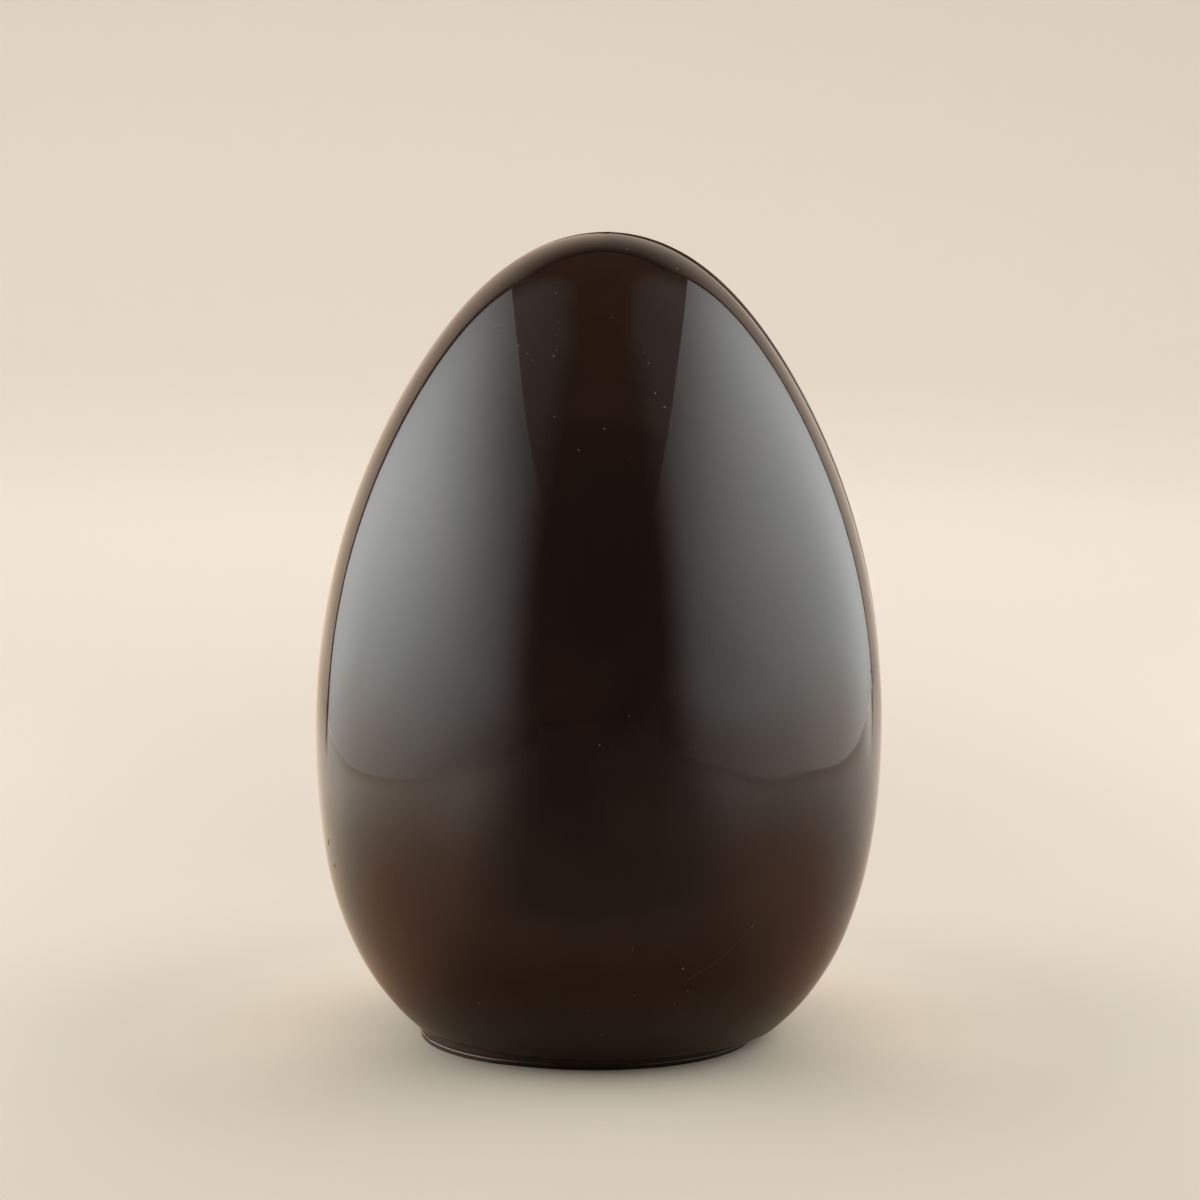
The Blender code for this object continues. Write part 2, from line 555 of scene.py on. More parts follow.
def build_seam_weld(shape, material):
    """The thin line of melted chocolate that fills the seam, just under its edges."""
    outline = EggOutline(shape)
    matrix = stance(shape, FRONT)
    matrix.translation.y = 0
    ground = (BASE_LEVEL - matrix.translation.z - outline.middle) / outline.half_length
    low = math.acos(-ground) + 0.02  # just above the cut base
    theta = np.linspace(low, 2 * math.pi - low, SEAM_STATIONS)
    place = -np.cos(theta)
    hand = np.where(theta < math.pi, 1.0, -1.0)
    level = np.zeros_like(hand)
    normal = np.stack([hand, level, -outline.slope(place)], axis=-1)
    normal /= np.linalg.norm(normal, axis=-1, keepdims=True)
    spine = np.stack([outline.width(place) * hand, level, outline.level(place)], axis=-1)
    sink = shape.weld_sink * (1 + 0.5 * soft_noise(spine, 4 * MM, 21))
    half = SEAM_GAP / 2 + WELD_OVERLAP
    other_side = tuple((-share, depth) for share, depth in WELD_PROFILE[-2::-1])
    rings = []
    for share, depth in WELD_PROFILE + other_side:
        ring = spine - normal * (sink + depth * MM)[:, None]
        ring[:, 1] = share * half
        rings.append(ring)
    mesh = tube_mesh("seam_weld", in_place(np.stack(rings, axis=1), matrix))
    add_piece("seam_weld", mesh, material)


# ---------------------------------------------------------------------------- foot


def foot_angles():
    return np.linspace(0, math.tau, FOOT_STATIONS, endpoint=False)


def foot_stray(foot, angles):
    """How far the foot's outline strays from a circle at these angles."""
    waves = (share * np.sin(count * angles + phase) for count, phase, share in FOOT_WAVES)
    return foot.uneven * sum(waves)


def foot_center(foot):
    """The middle of the foot's outline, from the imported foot."""
    angles = foot_angles()
    radius = foot.radius + foot_stray(foot, angles)
    x = radius * np.cos(angles)
    y = radius * np.sin(angles)
    middle = (foot_low + foot_high) / 2
    return middle.x - (x.max() + x.min()) / 2, middle.y - (y.max() + y.min()) / 2


def lip_share(angles):
    """How far the foot bulges into a lip: fully at the left, and hardly elsewhere."""
    degrees = np.degrees(angles)
    return ease(*LIP_SWELLS, degrees) * (1 - ease(*LIP_FADES, degrees))


def lip_scale(lip):
    """The share of the lip's rounding and crease that is left where the lip dies away."""
    return 0.3 + 0.7 * lip


def crease_inset(foot, lip):
    """How far the crease above the lip stands back from the foot's outline."""
    return foot.recess + foot.crease * lip_scale(lip)


def foot_ring(foot, inset, height, wobble):
    """A ring of points round the foot: wobble is its share of the lumps that pouring leaves."""
    angles = foot_angles()
    unit = np.stack([np.cos(angles), np.sin(angles), np.zeros_like(angles)], axis=-1)
    broad = soft_noise(unit * foot.radius, 5 * MM, 31)
    fine = soft_noise(unit * foot.radius, 2.2 * MM, 32)
    lumps = LUMP_REACH * broad + FINE_LUMP_REACH * fine
    radius = foot.radius + foot_stray(foot, angles) + wobble * lumps - inset
    ring = unit * radius[:, None]
    ring[:, :2] += foot_center(foot)
    ring[:, 2] = np.maximum(height + wobble * LUMP_RISE * broad, 0)
    return ring


def build_foot(foot, material):
    """The poured foot: a rounded lip at the left, and elsewhere a wall that leans in below."""
    lip = lip_share(foot_angles())
    rounding = foot.lip_round * lip_scale(lip)
    wall = foot.recess
    under = wall + foot.undercut * (1 - lip)
    crease = crease_inset(foot, lip)
    rings = [foot_ring(foot, under + rounding, 0.0, 0.0)]
    for turn in np.radians(LIP_BELOW):
        inset = under + rounding * (1 - math.cos(turn))
        rings.append(foot_ring(foot, inset, rounding * (1 + math.sin(turn)), 1.0))
    for turn in np.radians(LIP_ABOVE):
        inset = wall + rounding * (1 - math.cos(turn))
        level = foot.lip_height - rounding * (1 - math.sin(turn))
        rings.append(foot_ring(foot, inset, level, 1.0))
    rings.append(foot_ring(foot, crease, foot.lip_height - 0.02 * MM, 0.6))
    rings.append(foot_ring(foot, crease + 1.2 * MM, foot.lip_height - 0.05 * MM, 0.3))
    mesh = tube_mesh("foot", np.stack(rings))
    mesh.set_sharp_from_angle(angle=math.radians(50))
    add_piece("poured_foot", mesh, material, "foot")


def build_foot_weld(shape, foot, material):
    """The band of melted chocolate from the foot's crease up to the egg's cut edge."""
    overlap = 0.04 * MM  # into the foot and into the egg
    inner = 2.5 * MM  # how far the hidden underside and top reach in
    bulge = 0.16 * MM  # half way up, over the lip
    outline = EggOutline(shape)
    ground = (BASE_LEVEL - WIDEST_LEVEL - outline.middle) / outline.half_length
    egg_edge = float(outline.width(np.array(ground))) - 0.2 * MM
    lip = lip_share(foot_angles())
    bottom = foot.lip_height - overlap
    top = BASE_LEVEL + overlap
    low = foot_ring(foot, crease_inset(foot, lip), bottom, 0.0)
    reach = np.linalg.norm(low[:, :2], axis=-1)
    flare = (0.15 + 0.75 * lip + 0.25 * soft_noise(low, 5 * MM, 41)) * MM
    flare = np.minimum(egg_edge - reach, flare)
    outwards = low / reach[:, None]
    outwards[:, 2] = 0
    rings = [low - outwards * inner]
    for share in np.linspace(0, 1, FOOT_WELD_RINGS):
        out = flare * share**1.6 + bulge * math.sin(math.pi * share) * lip
        ring = outwards * (reach + out)[:, None]
        ring[:, 2] = bottom + (top - bottom) * share
        rings.append(ring)
    rings.append(rings[-1] - outwards * inner)
    mesh = tube_mesh("foot_weld", np.stack(rings))
    mesh.set_sharp_from_angle(angle=math.radians(60))
    add_piece("foot_weld", mesh, material)


# ---------------------------------------------------------------------------- marks


def surface_spot(shape, side, across, height):
    """The point and the normal of a half egg's surface at this x and z."""
    outline = EggOutline(shape)
    matrix = stance(shape, side)
    local = matrix.inverted() @ Vector((across, 0, height))
    place = np.array((local.z - outline.middle) / outline.half_length)
    width = float(outline.width(place))
    depth = side * math.sqrt(max(width**2 - local.x**2, 0))
    normal = Vector((local.x / width, depth / width, -float(outline.slope(place)))).normalized()
    point = Vector((local.x, depth, local.z))
    point += normal * float(shell_wave(shape, side, np.array([point]))[0])
    return matrix @ point, matrix.to_3x3() @ normal


def join_rings(bm, rings):
    """Join each closed ring of corners to the next one."""
    around = len(rings[0])
    for lower, upper in zip(rings, rings[1:]):
        for step in range(around):
            beside = (step + 1) % around
            bm.faces.new((lower[step], lower[beside], upper[beside], upper[step]))


def add_dome(bm, spot, along, size):
    """Add a low dome with its long side along a direction: size is its length, width and rise."""
    point, normal = spot
    side = normal.cross(along).normalized()
    along = side.cross(normal)
    length, width, rise = size
    rings = []
    for share, level in DOME_RINGS:
        ring = []
        for step in range(DOME_SIDES):
            turn = math.tau * step / DOME_SIDES
            reach = along * (share * length / 2 * math.cos(turn))
            reach += side * (share * width / 2 * math.sin(turn))
            ring.append(bm.verts.new(point + reach + normal * (level * rise)))
        rings.append(ring)
    join_rings(bm, rings)
    top = bm.verts.new(point + normal * rise)
    for step, corner in enumerate(rings[-1]):
        bm.faces.new((corner, rings[-1][(step + 1) % DOME_SIDES], top))
    bm.faces.new(rings[0][::-1])


def add_hairline(bm, shape, path, width):
    """Add a fine raised line along a path of (x, z) on the front half."""
    spots = [surface_spot(shape, FRONT, *place) for place in path]
    rings = []
    for index, (point, normal) in enumerate(spots):
        ahead = spots[min(index + 1, len(spots) - 1)][0] - spots[max(index - 1, 0)][0]
        side = normal.cross(ahead).normalized() * (width / 2)
        sunk = normal * (-0.1 * MM)
        crest = normal * (0.25 * width)
        ring = (point - side + sunk, point - side, point + crest, point + side, point + side + sunk)
        rings.append([bm.verts.new(place) for place in ring])
    join_rings(bm, rings)
    bm.faces.new(rings[0][::-1])
    bm.faces.new(rings[-1])


def add_marks(name, bm, material):
    """Make one piece of all the marks of a kind."""
    mesh = bpy.data.meshes.new(name)
    bmesh.ops.recalc_face_normals(bm, faces=bm.faces)
    bm.to_mesh(mesh)
    bm.free()
    mesh.shade_smooth()
    add_piece(name, mesh, material)


def build_specks(shape, marks, material):
    """The pale specks: the clearest ones, then finer ones strewn about them and over the rear."""
    rng = random.Random(7)
    places = [(FRONT, x * MM, z * MM, rng.uniform(0.75, 1.05)) for x, z in CLEAR_SPECKS]
    for side, x, z, spread, share in SPECK_ZONES:
        for _ in range(round(share * marks.specks)):
            across = rng.gauss(x, spread) * MM
            height = rng.gauss(z, spread * 0.8) * MM
            places.append((side, across, height, rng.uniform(0.35, 0.7)))
    bm = bmesh.new()
    for side, across, height, share in places:
        size = marks.speck_size * share
        turn = rng.uniform(0, math.pi)
        along = Vector((math.cos(turn), 0, math.sin(turn)))
        stretch = rng.uniform(1.0, 1.7)
        dome = (size * stretch, size / stretch, 0.12 * size)
        add_dome(bm, surface_spot(shape, side, across, height), along, dome)
    add_marks("pale_specks", bm, material)


def build_hairlines(shape, marks, material):
    """The fine hairlines on the front half, each a curve from its start past its bend."""
    bm = bmesh.new()
    for start, bend, end in HAIRLINES:
        path = []
        for share in np.linspace(0, 1, HAIRLINE_STEPS):
            near = (1 - share) ** 2
            far = share**2
            between = 2 * share * (1 - share)
            place = [near * a + between * b + far * c for a, b, c in zip(start, bend, end)]
            path.append((place[0] * MM, place[1] * MM))
        add_hairline(bm, shape, path, marks.hairline)
    add_marks("hairlines", bm, material)


def build_scuffs(shape, material):
    """Small dark scuffs by the seam."""
    bm = bmesh.new()
    for x, z, length, width, turn in SCUFFS:
        spot = surface_spot(shape, FRONT, x * MM, z * MM)
        angle = math.radians(turn)
        along = Vector((0.3 * math.cos(angle), -math.cos(angle), math.sin(angle)))
        add_dome(bm, spot, along, (length * MM, width * MM, 0.06 * MM))
    add_marks("scuffs", bm, material)


# ---------------------------------------------------------------------------- materials


class Nodes:
    """A short way to lay out a node tree."""

    def __init__(self, tree):
        self.tree = tree

    def add(self, kind, **settings):
        node = self.tree.nodes.new(kind)
        for name, value in settings.items():
            setattr(node, name, value)
        return node

    def link(self, source, target):
        self.tree.links.new(source, target)

    def position(self):
        """Where a point lies in the scene."""
        return self.add("ShaderNodeNewGeometry").outputs["Position"]

    def axes(self, vector):
        """The X, Y and Z of a vector."""
        node = self.add("ShaderNodeSeparateXYZ")
        self.link(vector, node.inputs["Vector"])
        return node.outputs["X"], node.outputs["Y"], node.outputs["Z"]

    def noise(self, coords, scale, detail, roughness=0.5, distortion=0.0):
        node = self.add("ShaderNodeTexNoise")
        node.inputs["Scale"].default_value = scale
        node.inputs["Detail"].default_value = detail
        node.inputs["Roughness"].default_value = roughness
        node.inputs["Distortion"].default_value = distortion
        self.link(coords, node.inputs["Vector"])
        return node.outputs["Fac"]

    def span(self, value, low, high, to_low, to_high):
        """A smooth step from one value at low to another at high."""
        node = self.add("ShaderNodeMapRange", interpolation_type="SMOOTHSTEP")
        node.inputs["From Min"].default_value = low
        node.inputs["From Max"].default_value = high
        node.inputs["To Min"].default_value = to_low
        node.inputs["To Max"].default_value = to_high
        self.link(value, node.inputs["Value"])
        return node.outputs["Result"]

    def rise(self, value, low, high):
        """A smooth step from 0 at low to 1 at high."""
        return self.span(value, low, high, 0.0, 1.0)

    def fall(self, value, low, high):
        """A smooth step from 1 at low to 0 at high."""
        return self.span(value, low, high, 1.0, 0.0)

    def math(self, operation, *values):
        node = self.add("ShaderNodeMath", operation=operation)
        for socket, value in zip(node.inputs, values):
            if isinstance(value, (int, float)):
                socket.default_value = value
            else:
                self.link(value, socket)
        return node.outputs["Value"]

    def times(self, first, second):
        return self.math("MULTIPLY", first, second)

    def vector_math(self, operation, *values):
        node = self.add("ShaderNodeVectorMath", operation=operation)
        for socket, value in zip(node.inputs, values):
            if isinstance(value, tuple):
                socket.default_value = value
            else:
                self.link(value, socket)
        kind = "Value" if operation == "DOT_PRODUCT" else "Vector"
        return node.outputs[kind]

    def mix_color(self, factor, first, second):
        node = self.add("ShaderNodeMix", data_type="RGBA")
        self.link(factor, node.inputs["Factor"])
        colors = [socket for socket in node.inputs if socket.type == "RGBA"]
        for socket, value in zip(colors, (first, second)):
            if isinstance(value, bpy.types.NodeSocket):
                self.link(value, socket)
            else:
                socket.default_value = (*value, 1.0)
        return [socket for socket in node.outputs if socket.type == "RGBA"][0]

    def bumps(self, coords, *layers):
        """A normal that noise makes uneven: each layer is its scale, detail and depth."""
        normal = None
        for scale, detail, depth in layers:
            node = self.add("ShaderNodeBump")
            node.inputs["Strength"].default_value = 1.0
            node.inputs["Distance"].default_value = depth
            self.link(self.noise(coords, scale, detail), node.inputs["Height"])
            if normal:
                self.link(normal, node.inputs["Normal"])
            normal = node.outputs["Normal"]
        return normal


def principled(material):
    return material.node_tree.nodes["Principled BSDF"]


def plain_material(name, color, roughness):
    material = bpy.data.materials.new(name)
    material.use_nodes = True
    shader = principled(material)
    shader.inputs["Base Color"].default_value = (*color, 1.0)
    shader.inputs["Roughness"].default_value = roughness
    return material


def edge_light_share(nodes, y, z):
    """Where light is painted on the shell: 1 on the rounded edges at the seam and at the cut base,
    and 0 elsewhere.
    """
    at_seam = nodes.fall(nodes.math("ABSOLUTE", y), 0.35 * MM, 0.65 * MM)
    at_base = nodes.fall(nodes.math("SUBTRACT", z, BASE_LEVEL), 0.15 * MM, 0.5 * MM)
    return nodes.math("MAXIMUM", at_seam, at_base)


def haze_share(nodes, coords, x, z):
    """How hazy the shell is: in clouds on its lower half, and nowhere near its two sides."""
    low = nodes.fall(z, 0.05, 0.11)
    middle = nodes.fall(nodes.math("ABSOLUTE", x), 0.03, 0.046)
    clouds = nodes.noise(coords, 34.0, 1.5)
    return nodes.times(nodes.times(low, middle), nodes.rise(clouds, 0.3, 0.75))


def shell_material(finish):
    """Glossy moulded chocolate: two browns in soft clouds, a painted lit line on its rounded edges,
    and hazy in places low down.
    """
    material = plain_material("moulded shell", finish.shell_color, finish.gloss)
    shader = principled(material)
    shader.inputs["IOR"].default_value = finish.index
    nodes = Nodes(material.node_tree)
    coords = nodes.add("ShaderNodeTexCoord").outputs["Object"]
    x, y, z = nodes.axes(coords)
    clouds = nodes.noise(coords, 55.0, 4.0, roughness=0.55, distortion=0.6)
    cloud = nodes.span(clouds, 0.42, 0.72, 0.0, 0.55)
    tint = nodes.mix_color(cloud, finish.shell_color, finish.bloom_color)
    # Painted light: a paler brown on the rounded edges at the seam and at the cut base, a painted lit
    # line along them.
    tint = nodes.mix_color(edge_light_share(nodes, y, z), tint, finish.weld_and_edge_light_color)
    nodes.link(tint, shader.inputs["Base Color"])
    haze = nodes.times(haze_share(nodes, coords, x, z), finish.haze - finish.gloss)
    nodes.link(nodes.math("ADD", haze, finish.gloss), shader.inputs["Roughness"])
    normal = nodes.bumps(coords, (900.0, 2.0, 0.0016 * MM), (100.0, 1.0, 0.014 * MM))
    nodes.link(normal, shader.inputs["Normal"])
    return material


def poured_material(finish):
    """Poured chocolate: glossy on the lip that shows at the left, and rougher elsewhere, where
    painted shade darkens it.
    """
    material = bpy.data.materials.get("poured chocolate")
    if material:
        return material
    material = plain_material("poured chocolate", finish.foot_color, finish.foot_gloss)
    shader = principled(material)
    shader.inputs["IOR"].default_value = finish.index
    nodes = Nodes(material.node_tree)
    coords = nodes.add("ShaderNodeTexCoord").outputs["Object"]
    x, _, _ = nodes.axes(coords)
    # Painted shade: towards its front and right the foot is darkened, where it lies in shadow, and
    # made rougher.
    dull_and_shaded = nodes.rise(x, -0.024, -0.012)
    tint = nodes.mix_color(dull_and_shaded, finish.foot_color, finish.scuff_and_shade_color)
    nodes.link(tint, shader.inputs["Base Color"])
    roughness = nodes.times(dull_and_shaded, finish.foot_dullness - finish.foot_gloss)
    nodes.link(nodes.math("ADD", roughness, finish.foot_gloss), shader.inputs["Roughness"])
    normal = nodes.bumps(coords, (900.0, 2.0, 0.005 * MM), (150.0, 2.0, 0.06 * MM))
    nodes.link(normal, shader.inputs["Normal"])
    return material


# ---------------------------------------------------------------------------- stage


class TablePlace:
    """Where a point of the table or the backdrop lies, seen from the egg."""

    def __init__(self, nodes):
        position = nodes.position()
        self.x, self.y, self.z = nodes.axes(position)
        level = nodes.vector_math("MULTIPLY", position, (1.0, 1.0, 0.0))
        self.reach = nodes.math("SQRT", nodes.vector_math("DOT_PRODUCT", level, level))
        self.side = nodes.math("ABSOLUTE", self.x)
        self.right = nodes.rise(self.x, -0.07, 0.07)
        self.facing = nodes.math("DIVIDE", self.y, self.reach)  # -1 in front, +1 behind


def painted_open_reflection(nodes, place):
    """Painted reflection of the table by the egg: warm close up, paler further away, brighter at the
    left.
    """
    back = nodes.rise(place.y, -0.02, 0.05)
    tint = nodes.mix_color(back, NEAR_FRONT, NEAR_BACK)
    tint = nodes.mix_color(nodes.rise(place.reach, 0.09, 0.3), tint, AWAY)
    return nodes.vector_math("MULTIPLY", tint, nodes.mix_color(place.right, *BOTH_SIDES))


def painted_far_reflection(nodes, place, tint):
    """Painted reflection of the table below the lights, and of the backdrop, which is painted darker
    higher up.
    """
    below_lights = nodes.mix_color(place.right, *BELOW_LIGHTS)
    tint = nodes.mix_color(nodes.rise(place.side, 0.25, 0.305), tint, below_lights)
    wall = nodes.mix_color(place.right, *WALL)
    wall = nodes.mix_color(nodes.rise(place.z, 0.5, 2.2), wall, WALL_HIGH)
    wall = nodes.mix_color(nodes.rise(place.z, 1.8, 2.35), wall, WALL_TOP)
    return nodes.mix_color(nodes.rise(place.y, 0.05, 0.4), tint, wall)


def painted_strip_reflection(nodes, place, tint):
    """Painted reflection: the dark strip past the back of each light goes on over the table as
    painted shade, beside a paler band of painted light.
    """
    # How far back a point lies, compared with how far out it lies from the side of the egg.
    slant = nodes.math("DIVIDE", place.y, nodes.math("SUBTRACT", place.side, 0.05))
    slant = nodes.math("SUBTRACT", slant, nodes.times(place.right, 0.2))
    band = nodes.times(nodes.rise(slant, 0.6, 1.1), nodes.fall(slant, 1.22, 1.27))
    band = nodes.times(band, nodes.rise(place.side, 0.2, 0.27))
    tint = nodes.mix_color(band, tint, BESIDE_STRIP)
    strip = nodes.times(nodes.rise(slant, 1.22, 1.27), nodes.fall(slant, 1.34, 1.4))
    strip = nodes.times(strip, nodes.span(place.side, 0.21, 0.28, 0.0, 0.85))
    return nodes.mix_color(strip, tint, STRIP)


def painted_front_shade(nodes, place, tint):
    """Painted shade in the table's reflection: close by in front, by the foot, and in the unlit wedge
    further out.
    """
    close = nodes.times(nodes.fall(place.facing, -0.9, -0.2), nodes.fall(place.reach, 0.05, 0.1))
    tint = nodes.mix_color(close, tint, CLOSE_FRONT_SHADE)
    tint = nodes.mix_color(nodes.fall(place.reach, 0.036, 0.058), tint, SHADE_BY_THE_FOOT)
    in_front = nodes.fall(place.facing, -0.96, -0.58)
    unlit = nodes.times(in_front, nodes.rise(place.reach, 0.045, 0.11))
    dark = nodes.mix_color(nodes.rise(place.reach, 0.08, 0.33), UNLIT_NEAR, UNLIT_FAR)
    return nodes.mix_color(unlit, tint, dark)


def painted_seen_light(nodes, place):
    """The table as it is seen directly, with painted light: paler by the egg, where this fills in the
    egg's shadow, less so in front, and its own colour far away.
    """
    tint = nodes.mix_color(nodes.fall(place.reach, 0.05, 0.1), SEEN_AROUND, PAINTED_LIGHT_BY_THE_EGG)
    tint = nodes.mix_color(nodes.rise(place.facing, -0.9, -0.1), SEEN_IN_FRONT, tint)
    return nodes.mix_color(nodes.rise(place.reach, 0.2, 0.8), tint, WHITE)


def table_material(studio):
    """Matt, and paler far away. Light and shade are painted on it: the egg's reflections see painted
    reflection tints, and the camera sees painted light by the egg.
    """
    material = plain_material("pale table", studio.table_color, 0.75)
    nodes = Nodes(material.node_tree)
    place = TablePlace(nodes)
    far = nodes.rise(place.reach, 0.15, 0.8)
    color = nodes.mix_color(far, studio.table_color, studio.backdrop_color)
    painted_reflection = painted_open_reflection(nodes, place)
    painted_reflection = painted_far_reflection(nodes, place, painted_reflection)
    painted_reflection = painted_strip_reflection(nodes, place, painted_reflection)
    painted_reflection = painted_front_shade(nodes, place, painted_reflection)
    # Painted light and shade: glossy rays see the painted reflection tints, camera rays the painted
    # light by the egg.
    glossy = nodes.add("ShaderNodeLightPath").outputs["Is Glossy Ray"]
    tint = nodes.mix_color(glossy, painted_seen_light(nodes, place), painted_reflection)
    color = nodes.vector_math("MULTIPLY", color, tint)
    nodes.link(color, principled(material).inputs["Base Color"])
    return material


def build_table(studio):
    """A pale table that sweeps up into its backdrop."""
    profile = [(-TABLE_REACH, 0.0), (SWEEP_START, 0.0)]
    for step in range(1, SWEEP_STEPS + 1):
        turn = math.radians(90 * step / SWEEP_STEPS)
        back = SWEEP_START + SWEEP_RADIUS * math.sin(turn)
        profile.append((back, SWEEP_RADIUS * (1 - math.cos(turn))))
    profile.append((SWEEP_START + SWEEP_RADIUS, BACKDROP_TOP))
    points = []
    for y, z in profile:
        points += [(-TABLE_REACH, y, z), (TABLE_REACH, y, z)]
    mesh = bpy.data.meshes.new("table")
    mesh.from_pydata(points, [], grid_faces(len(profile), 2))
    mesh.shade_smooth()
    mesh.materials.append(table_material(studio))
    table = bpy.data.objects.new("table", mesh)
    bpy.context.scene.collection.objects.link(table)
    return table


def cloth_glow(nodes, place, center, spread):
    """The glow of a light's cloth: brightest at its center, and fading to its front edge."""
    away = nodes.vector_math("SUBTRACT", place, (0.0, *center))
    away = nodes.vector_math("MULTIPLY", away, (0.0, 1 / spread[0], 1 / spread[1]))
    square = nodes.vector_math("DOT_PRODUCT", away, away)
    glow = nodes.math("POWER", nodes.math("ADD", square, 1.0), -1.5)
    _, y, z = nodes.axes(place)
    fade = nodes.rise(y, PANEL_FRONT, -0.34)
    low_back = nodes.times(nodes.span(y, 0.05, 0.33, 0.0, 0.32), nodes.fall(z, 0.05, 0.3))
    return nodes.times(glow, nodes.times(fade, nodes.math("ADD", low_back, 1.0)))


def cloth_hue(nodes, place):
    """The colour of a light's cloth: warmer along its lower edge, and less so at the back."""
    _, y, z = nodes.axes(place)
    height = nodes.math("ADD", z, nodes.span(y, 0.08, 0.3, 0.0, 0.045))
    return nodes.mix_color(nodes.rise(height, 0.0, 0.085), CLOTH_LOW, CLOTH_CLEAR)


def panel_light(name, studio, hand, brightness, center, spread, rear, height):
    """A tall soft light beside the egg, up to the rear along Y, with a card behind it."""
    light = bpy.data.lights.new(name, "AREA")
    light.shape = "RECTANGLE"
    light.size = rear - PANEL_FRONT
    light.size_y = height
    light.energy = math.pi * light.size * height * brightness
    light.use_nodes = True
    nodes = Nodes(light.node_tree)
    place = nodes.position()
    emission = next(node for node in light.node_tree.nodes if node.type == "EMISSION")
    nodes.link(cloth_glow(nodes, place, center, spread), emission.inputs["Strength"])
    nodes.link(cloth_hue(nodes, place), emission.inputs["Color"])
    lamp = bpy.data.objects.new(name, light)
    lamp.location = (hand * studio.panel_side, (PANEL_FRONT + rear) / 2, height / 2)
    lamp.rotation_euler = Vector((-hand, 0, 0)).to_track_quat("-Z", "Y").to_euler()
    lamp.visible_camera = False
    bpy.context.scene.collection.objects.link(lamp)
    card_side = hand * (studio.panel_side + CARD_BEHIND)
    light_card(name, studio, card_side, rear + CARD_PAST, height)


def room_glow(nodes, direction, studio):
    """How bright the room is in a direction: dim all round, and faintly warm overhead."""
    dim = (studio.surround, studio.surround, studio.surround)
    _, _, up = nodes.axes(direction)
    return nodes.mix_color(nodes.rise(up, 0.55, 1.0), dim, CEILING_GLOW)


def card_glow(nodes, studio, rear, light_height):
    """Painted glow of a card: black behind the light, glowing dimly above it as if lit, and glowing
    like the room in front and up at the back.
    """
    place = nodes.position()
    _, y, z = nodes.axes(place)
    from_egg = nodes.vector_math("SUBTRACT", place, (0.0, 0.0, 0.1))
    room = room_glow(nodes, nodes.vector_math("NORMALIZE", from_egg), studio)
    glow = nodes.mix_color(nodes.rise(z, light_height, 1.7), CARD_GLOW_LOW, CARD_GLOW_HIGH)
    glow = nodes.mix_color(nodes.rise(y, 0.1, rear), glow, room)
    glow = nodes.mix_color(nodes.math("GREATER_THAN", z, light_height), BLACK, glow)
    return nodes.mix_color(nodes.rise(y, PANEL_FRONT, -0.2), room, glow)


def light_card(light_name, studio, x, rear, light_height):
    """The dark card behind a light, which glows with painted light. It shows only where the egg
    mirrors it.
    """
    name = light_name + "_card"
    corners = [
        (x, PANEL_FRONT, 0),
        (x, rear, 0),
        (x, rear, CARD_HEIGHT),
        (x, PANEL_FRONT, CARD_HEIGHT),
    ]
    mesh = bpy.data.meshes.new(name)
    mesh.from_pydata(corners, [], [(0, 1, 2, 3)])
    material = plain_material(light_name + " card", BLACK, 1.0)
    shader = principled(material)
    nodes = Nodes(material.node_tree)
    nodes.link(card_glow(nodes, studio, rear, light_height), shader.inputs["Emission Color"])
    shader.inputs["Emission Strength"].default_value = 1.0
    mesh.materials.append(material)
    card = bpy.data.objects.new(name, mesh)
    card.visible_camera = False
    card.visible_diffuse = False
    card.visible_shadow = False
    bpy.context.scene.collection.objects.link(card)


def table_light(studio, table):
    """A broad light overhead that lights the table alone."""
    light = bpy.data.lights.new("table_light", "AREA")
    light.shape = "RECTANGLE"
    light.size = 6.5
    light.size_y = 4.0
    light.energy = studio.table_light
    light.color = TABLE_LIGHT
    lamp = bpy.data.objects.new("table_light", light)
    lamp.location = (0, 0.3, 2.3)
    lamp.rotation_euler = Vector((0, 0, -1)).to_track_quat("-Z", "Y").to_euler()
    lamp.visible_camera = False
    lamp.visible_glossy = False
    lit = bpy.data.collections.new("lit by the table light")
    lit.objects.link(table)
    lamp.light_linking.receiver_collection = lit
    bpy.context.scene.collection.objects.link(lamp)


def build_camera(studio):
    camera = bpy.data.cameras.new("camera")
    camera.sensor_width = 24.0
    camera.lens = 100.0
    camera.clip_start = 0.01
    camera.clip_end = 20.0
    holder = bpy.data.objects.new("camera", camera)
    holder.location = (studio.camera_side, -studio.camera_distance, studio.camera_height)
    holder.rotation_euler = (math.pi / 2 - studio.camera_pitch, 0, 0)
    bpy.context.scene.collection.objects.link(holder)
    bpy.context.scene.camera = holder


def build_room(studio):
    """Dim surroundings under a faintly warm ceiling. Only the camera sees them as pale."""
    world = bpy.data.worlds.new("room")
    bpy.context.scene.world = world
    world.use_nodes = True
    nodes = Nodes(world.node_tree)
    background = world.node_tree.nodes["Background"]
    ray = nodes.add("ShaderNodeLightPath").outputs["Is Camera Ray"]
    around = room_glow(nodes, nodes.add("ShaderNodeTexCoord").outputs["Generated"], studio)
    nodes.link(nodes.mix_color(ray, around, PALE_ROOM), background.inputs["Color"])


# ---------------------------------------------------------------------------- operators


class EGG_OT_half_eggs(bpy.types.Operator):
    """Build the front and rear half eggs"""

    bl_idname = "chocolate_egg.half_eggs"
    bl_label = "Half eggs"

    def execute(self, context):
        egg = context.scene.chocolate_egg
        material = shell_material(egg.finish)
        build_half_egg("front_half_egg", egg.shape, FRONT, material, "half_front")
        build_half_egg("rear_half_egg", egg.shape, REAR, material, "half_rear")
        return {"FINISHED"}


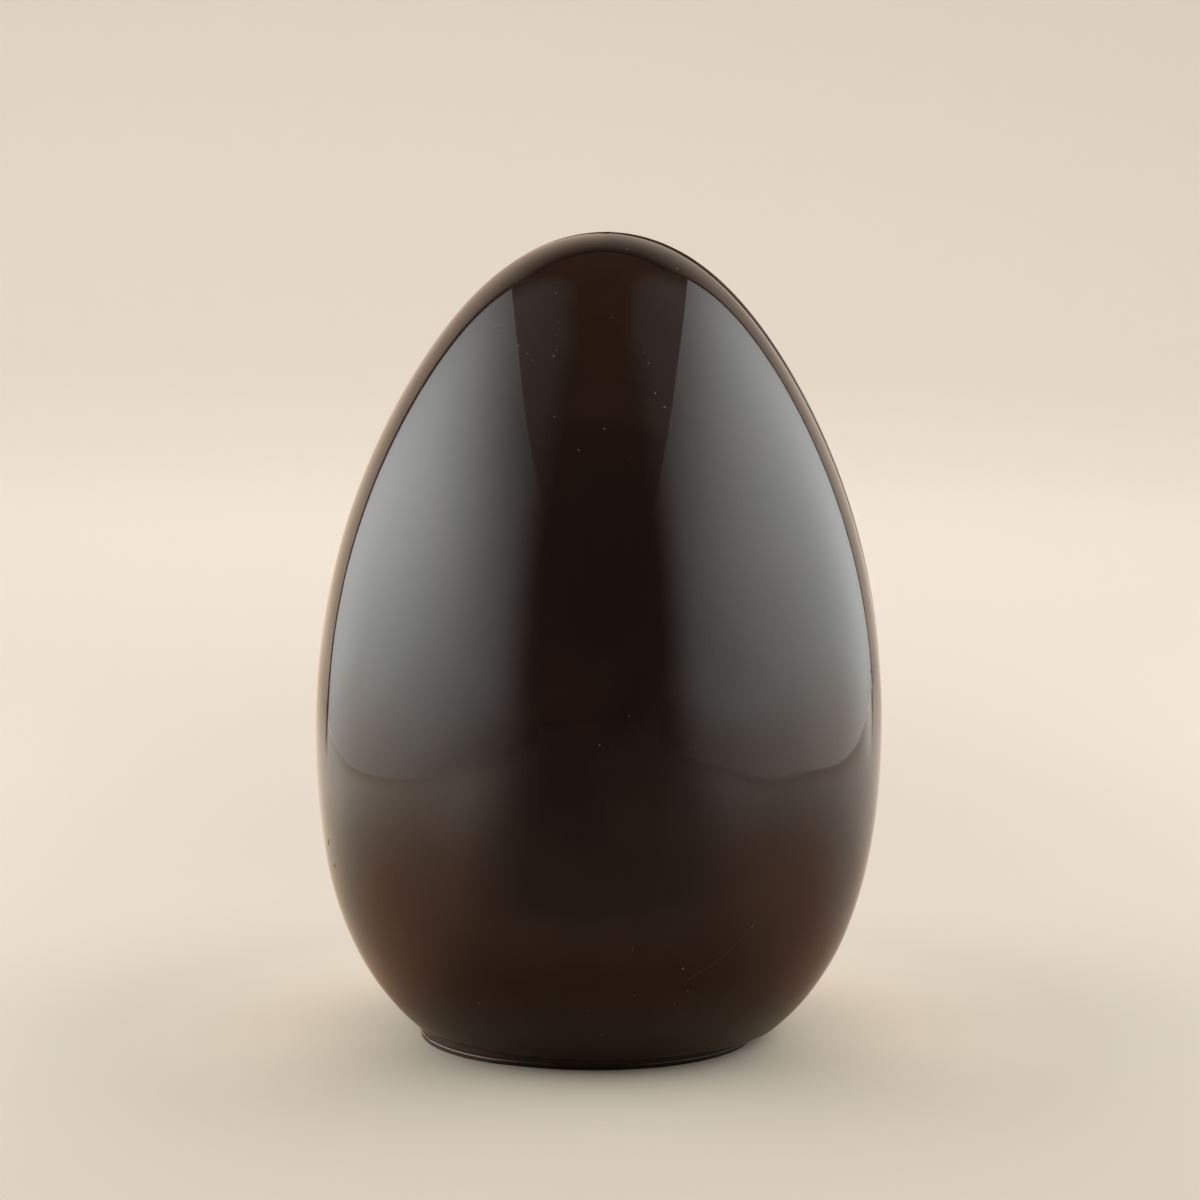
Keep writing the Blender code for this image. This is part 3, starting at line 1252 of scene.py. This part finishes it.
class EGG_OT_welds(bpy.types.Operator):
    """Build the melted chocolate in the seam and round the foot"""

    bl_idname = "chocolate_egg.welds"
    bl_label = "Welds"

    def execute(self, context):
        egg = context.scene.chocolate_egg
        seam = plain_material("melted seam", egg.finish.weld_and_edge_light_color, 0.25)
        build_seam_weld(egg.shape, seam)
        build_foot_weld(egg.shape, egg.foot, poured_material(egg.finish))
        return {"FINISHED"}


class EGG_OT_foot(bpy.types.Operator):
    """Build the foot that was poured by hand"""

    bl_idname = "chocolate_egg.foot"
    bl_label = "Foot"

    def execute(self, context):
        egg = context.scene.chocolate_egg
        build_foot(egg.foot, poured_material(egg.finish))
        return {"FINISHED"}


class EGG_OT_marks(bpy.types.Operator):
    """Strew the specks, the hairlines and the scuffs over the shell"""

    bl_idname = "chocolate_egg.marks"
    bl_label = "Marks"

    def execute(self, context):
        egg = context.scene.chocolate_egg
        pale = plain_material("pale specks", egg.finish.speck_color, 0.5)
        fine = plain_material("hairlines", egg.finish.hairline_color, 0.3)
        dark = plain_material("scuffs", egg.finish.scuff_and_shade_color, 0.4)
        build_specks(egg.shape, egg.marks, pale)
        build_hairlines(egg.shape, egg.marks, fine)
        build_scuffs(egg.shape, dark)
        return {"FINISHED"}


class EGG_OT_stage(bpy.types.Operator):
    """Set the table, the lights and the camera"""

    bl_idname = "chocolate_egg.stage"
    bl_label = "Stage"

    def execute(self, context):
        studio = context.scene.chocolate_egg.studio
        table = build_table(studio)
        panel_light(
            "left_panel",
            studio,
            hand=-1,
            brightness=studio.left_light,
            center=(0.0, 0.2),
            spread=(0.295, 0.23),
            rear=0.325,
            height=0.5,
        )
        panel_light(
            "right_panel",
            studio,
            hand=1,
            brightness=studio.right_light,
            center=(0.019, 0.24),
            spread=(0.375, 0.31),
            rear=0.395,
            height=0.53,
        )
        table_light(studio, table)
        build_camera(studio)
        build_room(studio)
        context.scene.view_settings.view_transform = "Standard"
        return {"FINISHED"}


class EGG_PT_panel(bpy.types.Panel):
    """Lists the pieces of the egg"""

    bl_label = "Chocolate Egg"
    bl_idname = "EGG_PT_panel"
    bl_space_type = "VIEW_3D"
    bl_region_type = "UI"
    bl_category = "Chocolate Egg"

    def draw(self, context):
        egg = context.scene.chocolate_egg
        for operator in OPERATORS:
            self.layout.operator(operator.bl_idname)
        for group in (egg.shape, egg.foot, egg.marks, egg.finish, egg.studio):
            box = self.layout.box()
            for name in group.bl_rna.properties.keys():
                if name not in ("rna_type", "name"):
                    box.prop(group, name)


OPERATORS = (EGG_OT_half_eggs, EGG_OT_welds, EGG_OT_foot, EGG_OT_marks, EGG_OT_stage)
SETTINGS = (EggShape, FootShape, Marks, ChocolateFinish, Studio, ChocolateEgg)
CLASSES = SETTINGS + OPERATORS + (EGG_PT_panel,)


def register():
    for item in CLASSES:
        bpy.utils.register_class(item)
    bpy.types.Scene.chocolate_egg = bpy.props.PointerProperty(type=ChocolateEgg)


def unregister():
    del bpy.types.Scene.chocolate_egg
    for item in reversed(CLASSES):
        bpy.utils.unregister_class(item)


def main():
    register()
    bpy.ops.chocolate_egg.half_eggs()
    bpy.ops.chocolate_egg.welds()
    bpy.ops.chocolate_egg.foot()
    bpy.ops.chocolate_egg.marks()
    bpy.ops.chocolate_egg.stage()


if __name__ == "__main__":
    main()
